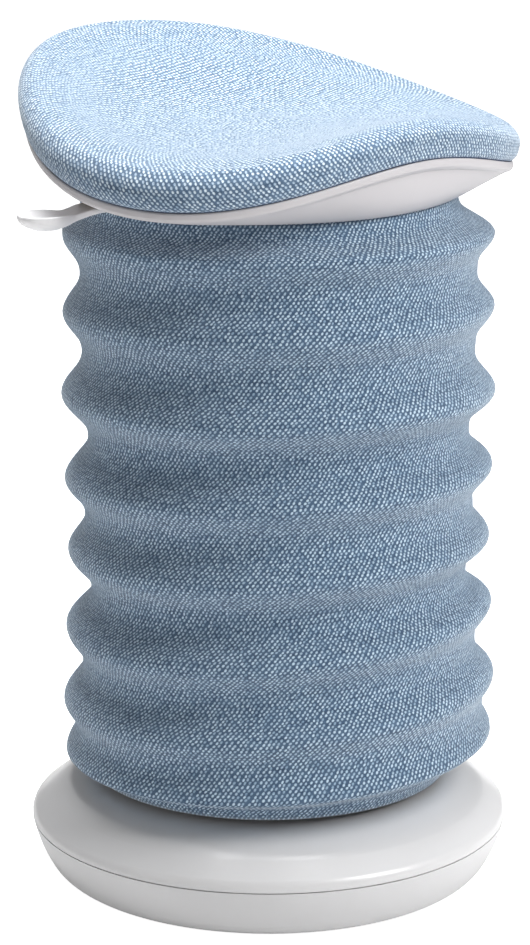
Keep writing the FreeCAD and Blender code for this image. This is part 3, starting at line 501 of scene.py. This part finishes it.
def cloth_point(low, high, share, angle):
    """A point of the cloth between two stops of the bellows."""
    around = Vector((math.cos(angle), math.sin(angle), 0))
    height, _, shift, slope = between(low, high, share)
    power = 1.45 + 0.25 * around.dot(picture_right)
    radius = swing_radius(share, low[1], high[1], power)
    height += slope.dot(around) * radius
    free = max(0.0, min(1.0, (height - fabric_low.z) / 0.03, (fabric_high.z - height) / 0.02))
    slow = noise.noise(around * 1.3 + Vector((0, 0, height * 9)))
    crease = noise.noise(around * 2.2 + Vector((0, 0, height * 95)))
    radius += free * (slow_swell * slow + crease_depth * crease)
    height += free * crest_wander * noise.noise(around * 1.1 + Vector((5, 0, height * 11)))
    return shift + around * radius + Vector((0, 0, height))


def ring_shares(low, high):
    """Shares of the way between two stops, about a ring gap of height apart."""
    steps = max(2, round((high[0] - low[0]) / ring_gap))
    return [step / steps for step in range(steps)]


angles = [2 * math.pi * side / bellows_sides for side in range(bellows_sides)]
rows = [[cloth_point(low, high, share, angle) for angle in angles]
        for low, high in zip(stops, stops[1:]) for share in ring_shares(low, high)]
rows.append([cloth_point(stops[-2], stops[-1], 1.0, angle) for angle in angles])
climb = [0.0]
for lower_row, upper_row in zip(rows, rows[1:]):
    gaps = [(b - a).length for a, b in zip(lower_row, upper_row)]
    climb.append(climb[-1] + sum(gaps) / len(gaps))
girth = 2 * math.pi * sum(stop[1] for stop in stops) / len(stops)
girth = round(girth / loop_width) * loop_width
maps = [[(girth * side / bellows_sides, v) for side in range(bellows_sides + 1)]
        for v in climb]
bellows = ring_mesh("bellows_knit", rows, maps, bellows_knit)
solid = bellows.modifiers.new("thickness", "SOLIDIFY")
solid.thickness = cloth_thickness
solid.offset = -1
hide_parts("bellows_fabric")
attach(bellows, "swivel")
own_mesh(bellows)
print("bellows:", len(rows), "rings,", round(girth, 3), "m round and",
      round(climb[-1], 3), "m along the folds")

# %% [markdown]
# ## Seat cover
#
# The seat is upholstered: foam under a tight knit that is turned in at its lower edge. Its lower
# edge is a saddle-shaped loop: the reach and the rise are known every 45 degrees round and a
# cosine series fills in the rest. Rings of points go from that edge up the bulging side and over
# the crown. Two maps go with them: one with rows that run round the edge, as the stretched knit
# does on the side, and one that is flat across the top.

# %%
reach_stops = [0.1620, 0.1814, 0.1916, 0.1820, 0.1874]
rise_stops = [0.0285, 0.0077, 0.0100, 0.0498, 0.0693]
saddle_middle = 0.5521
saddle_power = 2.06
pad_height = 0.0354
pad_bulge = 0.0042
pad_crown = 0.0045
hem_gap = 0.0006
side_map_end = 0.105      # length of cloth from the hem where the flat map takes over
side_map_fade = 0.05
edge_ring = 6             # the ring whose length sets the map round the edge
seat_sides = 192


def cosine_terms(values):
    """Terms of a cosine series through values that are evenly spaced from 0 to 180 degrees."""
    last = len(values) - 1
    weights = [0.5] + [1.0] * (last - 1) + [0.5]
    return [2 / last * weights[k] * sum(w * v * math.cos(k * j * math.pi / last)
                                        for j, (w, v) in enumerate(zip(weights, values)))
            for k in range(last + 1)]


def series(terms, angle):
    return sum(term * math.cos(k * angle) for k, term in enumerate(terms))


reach_terms = cosine_terms(reach_stops)
rise_terms = cosine_terms(rise_stops)


def saddle_point(angle, share, inset, height):
    """A point over the saddle, from the front at angle 0 round to the rear."""
    reach = series(reach_terms, angle)
    radius = share * reach - inset
    rise = series(rise_terms, angle) * max(radius / reach, 0.0) ** saddle_power
    return Vector((-radius * math.sin(angle), -radius * math.cos(angle),
                   saddle_middle + rise + height))


def curve_through(stops, steps):
    """Points on a smooth curve through stops (a Catmull-Rom spline)."""
    padded = [stops[0]] + stops + [stops[-1]]
    points = []
    for a, b, c, d in zip(padded, padded[1:], padded[2:], padded[3:]):
        for step in range(steps):
            t = step / steps
            points.append(tuple(
                0.5 * (2 * q + (r - p) * t + (2 * p - 5 * q + 4 * r - s) * t * t
                       + (3 * q - p - 3 * r + s) * t ** 3)
                for p, q, r, s in zip(a, b, c, d)))
    return points + [stops[-1]]


side_stops = [
    (1.0, 0.0010, hem_gap),
    (1.0, -0.0022, pad_height * 0.09),
    (1.0, -1.0 * pad_bulge, pad_height * 0.25),
    (1.0, -1.15 * pad_bulge, pad_height * 0.43),
    (1.0, -0.5 * pad_bulge, pad_height * 0.61),
    (1.0, 0.0035, pad_height * 0.775),
    (1.0, 0.0105, pad_height * 0.90),
    (1.0, 0.0200, pad_height * 0.975),
]
top_stops = [(share, 0.0, pad_height + pad_crown * (1 - share ** 2))
             for share in (0.80, 0.64, 0.43, 0.22, 0.05)]
turned_in = [
    (1.0, 0.0085, hem_gap - 0.0002),
    (1.0, 0.0045, hem_gap - 0.0004),
    (1.0, 0.0020, hem_gap - 0.0002),
]
levels = turned_in + curve_through(side_stops + top_stops, 4)
angles = [2 * math.pi * side / seat_sides for side in range(seat_sides)]
rows = [[saddle_point(angle, *level) for angle in angles] for level in levels]
crown = Vector((0, 0, saddle_middle + pad_height + pad_crown))
climb = [0.0]
for lower_row, upper_row in zip(rows, rows[1:]):
    gaps = [(b - a).length for a, b in zip(lower_row, upper_row)]
    climb.append(climb[-1] + sum(gaps) / seat_sides)
full = climb[-1] + rows[-1][0].xy.length
spin = [angle + azimuth for angle in angles + [2 * math.pi]]
maps = [[((full - v) * math.sin(turn), (full - v) * math.cos(turn)) for turn in spin]
        for v in climb]
cover = ring_mesh("seat_knit_cover", rows, maps, seat_knit, cap=(crown, (0.0, 0.0)))
edge = rows[edge_ring]
edge_length = sum((edge[i] - edge[i - 1]).length for i in range(seat_sides))
edge_length = round(edge_length / loop_width) * loop_width
hem_map = cover.data.uv_layers.new(name="round_edge")
corner = 0
for r in range(len(rows) - 1):
    for c in range(seat_sides):
        for step, ring in ((0, r), (1, r), (1, r + 1), (0, r + 1)):
            hem_map.data[corner].uv = (edge_length * (c + step) / seat_sides, climb[ring])
            corner += 1
side_share = cover.data.attributes.new("side_share", "FLOAT", "POINT")
for r, v in enumerate(climb):
    for c in range(seat_sides):
        share = (side_map_end - v) / side_map_fade
        side_share.data[r * seat_sides + c].value = max(0.0, min(1.0, share))
print("seat cover:", len(cover.data.vertices), "points,", round(edge_length, 3), "m round")

# %% [markdown]
# ### Stuffing the seat
#
# Foam pushes the knit out a little between its edge and its middle. A short cloth simulation with
# a light pressure does that here, with the hem pinned. How far a point may move is capped, so the
# seat keeps its size. The result is written into the mesh, and a subdivision smooths it.

# %%
puff_cap = 0.0035
puff_pressure = 1.5
puff_frames = 12
hem_rows = 6              # rings at the hem that stay pinned


def stuffed(piece, pinned, pressure, frames):
    """Runs a short cloth simulation on a piece and keeps its result, capped."""
    rest = [v.co.copy() for v in piece.data.vertices]
    group = piece.vertex_groups.new(name="pinned")
    group.add(pinned, 1.0, "REPLACE")
    cloth = piece.modifiers.new("cloth", "CLOTH")
    cloth.settings.quality = 6
    cloth.settings.mass = 0.2
    cloth.settings.tension_stiffness = 40
    cloth.settings.compression_stiffness = 40
    cloth.settings.bending_stiffness = 2
    cloth.settings.use_pressure = True
    cloth.settings.uniform_pressure_force = pressure
    cloth.settings.vertex_group_mass = "pinned"
    cloth.settings.effector_weights.gravity = 0
    cloth.point_cache.frame_start = 1
    cloth.point_cache.frame_end = frames
    for frame_number in range(1, frames + 1):
        scene.frame_set(frame_number)
    view = piece.evaluated_get(bpy.context.evaluated_depsgraph_get())
    moved = [v.co.copy() for v in view.data.vertices]
    piece.modifiers.remove(cloth)
    scene.frame_set(1)
    most = 0.0
    for vertex, start, end in zip(piece.data.vertices, rest, moved):
        step = end - start
        if step.length > puff_cap:
            step = step.normalized() * puff_cap
        most = max(most, step.length)
        vertex.co = start + step
    piece.vertex_groups.clear()
    print(piece.name, "moved at most", round(most * 1000, 2), "mm")


stuffed(cover, list(range(hem_rows * seat_sides)), puff_pressure, puff_frames)
smooth = cover.modifiers.new("smooth", "SUBSURF")
smooth.levels = smooth.render_levels = 1
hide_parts("seat_cover", "seat_pad")
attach(cover, "lift")

# %% [markdown]
# ### Hem shade bead
#
# Where the knit is turned in over the shell, the gap between them lies in shade. A small round
# bead of dark blue follows the hem loop there: painted shade standing in for that dark line.

# %%
hem_bead_stop = (1.0, 0.0016, 0.0009)
hem_bead_radius = 0.0008
hem_bead_sides = 8
# Two dark blues for the bead, mixed by a fine noise: painted shade for the gap at the hem.
hem_shade_dark = (0.02, 0.035, 0.08, 1)
hem_shade_light = (0.06, 0.09, 0.17, 1)
hem_shade_noise_scale = 1500.0


def hem_bead_ring(angle):
    """A small ring across the bead, in the plane of the seat's axis."""
    middle = saddle_point(angle, *hem_bead_stop)
    outward = Vector((-math.sin(angle), -math.cos(angle), 0))
    turns = [2 * math.pi * i / hem_bead_sides for i in range(hem_bead_sides)]
    return [middle + outward * (hem_bead_radius * math.cos(turn))
            + Vector((0, 0, hem_bead_radius * math.sin(turn))) for turn in turns]


# The bead's material is painted shade, dark blue where the hem gap is shadowed.
hem_shade_material, hem_shade_graph, hem_shade_shader = new_material("hem_painted_shade")
hem_shade_noise = hem_shade_graph.noise(hem_shade_graph.add("ShaderNodeTexCoord").outputs["Object"], hem_shade_noise_scale)
hem_shade_color = hem_shade_graph.blend(hem_shade_noise, hem_shade_dark, hem_shade_light)
hem_shade_graph.put(hem_shade_shader.inputs["Base Color"], hem_shade_color)
hem_shade_shader.inputs["Roughness"].default_value = 0.9
rings = [hem_bead_ring(angle) for angle in angles]
hem_bead_rows = [[ring[i] for ring in rings] for i in list(range(hem_bead_sides)) + [0]]
hem_bead_maps = [[(0.0, 0.0)] * (seat_sides + 1)] * len(hem_bead_rows)
hem_shade_bead = ring_mesh("hem_painted_shade_bead", hem_bead_rows, hem_bead_maps, hem_shade_material)
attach(hem_shade_bead, "lift")
print("seam:", len(hem_shade_bead.data.vertices), "points")

# %% [markdown]
# ## Release lever
#
# The lever is one moulding: a flat bar with soft edges that widens into a spoon for two fingers.
# It is a row of sections across its own direction. Each has a half width, a lower and an upper
# height, how square it is, and how deep the spoon is dished. Between the few given sections a
# smooth curve fills in the rest.

# %%
lever_turn = math.radians(6.0)
lever_out = Vector((-math.cos(lever_turn), math.sin(lever_turn), 0))
lever_side = Vector((-math.sin(lever_turn), -math.cos(lever_turn), 0))
lever_sides = 40
lever_steps = 6
spoon_lip = 0.0022        # from the upper face down to the widest line of a dished section
tip_reach = 0.2240
tip_height = 0.5420
lever_stops = [  # reach, half width, low, high, squareness below, squareness above, dish
    (-0.0089, 0.0006, 0.5422, 0.5430, 2.0, 2.0, 0.0),
    (-0.0088, 0.0102, 0.5402, 0.5450, 4.0, 4.0, 0.0),
    (-0.0070, 0.0109, 0.5399, 0.5453, 5.0, 5.0, 0.0),
    (0.0700, 0.0109, 0.5399, 0.5453, 5.0, 5.0, 0.0),
    (0.1500, 0.0120, 0.5399, 0.5453, 5.0, 5.0, 0.0),
    (0.1660, 0.0124, 0.5393, 0.5449, 4.5, 5.0, 0.0),
    (0.1760, 0.0112, 0.5372, 0.5432, 4.0, 5.0, 0.0004),
    (0.1830, 0.0112, 0.5350, 0.5424, 3.0, 5.0, 0.0022),
    (0.1900, 0.0145, 0.5325, 0.5432, 2.4, 5.0, 0.0050),
    (0.2000, 0.0178, 0.5308, 0.5440, 2.2, 5.0, 0.0062),
    (0.2100, 0.0168, 0.5315, 0.5442, 2.2, 5.0, 0.0056),
    (0.2180, 0.0126, 0.5345, 0.5442, 2.2, 4.0, 0.0034),
    (0.2222, 0.0074, 0.5380, 0.5440, 2.2, 3.0, 0.0010),
    (0.2236, 0.0030, 0.5405, 0.5432, 2.0, 2.0, 0.0),
]


def squared(value, power):
    """A cosine or sine bent towards a square: power 2 is round, more is squarer."""
    return math.copysign(abs(value) ** (2 / power), value)


def lever_section(stop):
    """A closed section of the lever, as points."""
    reach, half, low, high, under, over, dish = stop
    middle = (low + high) / 2 if dish == 0 else high - spoon_lip
    points = []
    for i in range(lever_sides):
        turn = 2 * math.pi * i / lever_sides
        power = over if math.sin(turn) > 0 else under
        across = squared(math.cos(turn), power) * half
        depth = high - middle if math.sin(turn) > 0 else middle - low
        height = middle + squared(math.sin(turn), power) * depth
        if math.sin(turn) > 0:
            height -= dish * max(0.0, 1 - (across / half) ** 2) ** 1.5
        points.append(lever_out * reach + lever_side * across + Vector((0, 0, height)))
    return points


rows = [lever_section(stop) for stop in curve_through(lever_stops, lever_steps)]
maps = [[(0.0, 0.0)] * (lever_sides + 1)] * len(rows)
tip = lever_out * tip_reach + Vector((0, 0, tip_height))
lever = ring_mesh(
    "release_lever", rows, maps, finishes["lever_plastic"], cap=(tip, (0.0, 0.0)))
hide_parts("lever_arm", "lever_paddle")
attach(lever, "lever")
print("lever:", len(rows), "sections of", lever_sides)

# %% [markdown]
# ## Studio
#
# A pale floor that runs out to white, a broad light high on the right, a weaker one on the left
# and a soft one overhead for the top of the seat. The floor glows a little for the light it gives
# and more where it is seen, so that it comes out white.

# %%
floor_reach = 30.0
floor_glow = 0.1
floor_seen_glow = 0.8


def floor_piece():
    mesh = bpy.data.meshes.new("floor")
    r = floor_reach
    mesh.from_pydata([(-r, -r, 0), (r, -r, 0), (r, r, 0), (-r, r, 0)], [], [(0, 1, 2, 3)])
    piece = bpy.data.objects.new("floor", mesh)
    scene.collection.objects.link(piece)
    material, graph, shader = new_material("floor_white")
    shader.inputs["Base Color"].default_value = (0.8, 0.8, 0.8, 1)
    shader.inputs["Roughness"].default_value = 0.9
    shader.inputs["Specular IOR Level"].default_value = 0.1
    shader.inputs["Emission Color"].default_value = (1, 1, 1, 1)
    seen = graph.add("ShaderNodeLightPath").outputs["Is Camera Ray"]
    glow = graph.math("MULTIPLY_ADD", seen, floor_seen_glow, floor_glow)
    graph.put(shader.inputs["Emission Strength"], glow)
    mesh.materials.append(material)


def soft_light(name, place, size, power, aim=Vector((0, 0, 0.35))):
    """An area light of a size in metres and a power in watts, turned to the stool's middle."""
    data = bpy.data.lights.new(name, "AREA")
    data.shape = "RECTANGLE"
    data.size, data.size_y = size
    data.energy = power
    light = bpy.data.objects.new(name, data)
    light.location = place
    light.rotation_euler = (aim - place).to_track_quat("-Z", "Y").to_euler()
    scene.collection.objects.link(light)


floor_piece()
up_axis = Vector((0, 0, 1))
soft_light("key", picture_right * 1.7 + towards_camera * 0.9 + up_axis * 1.9,
           size=(1.0, 1.4), power=52)
soft_light("fill", picture_right * -2.0 + towards_camera * 1.4 + up_axis * 1.0,
           size=(1.2, 1.4), power=4)
soft_light("overhead", towards_camera * -0.3 + up_axis * 2.3, size=(1.2, 1.2), power=58)
world = bpy.data.worlds.new("studio")
scene.world = world
world.use_nodes = True
world.node_tree.nodes["Background"].inputs["Color"].default_value = (1, 1, 1, 1)
world.node_tree.nodes["Background"].inputs["Strength"].default_value = 0.24
scene.view_settings.view_transform = "Standard"
scene.view_settings.look = "None"
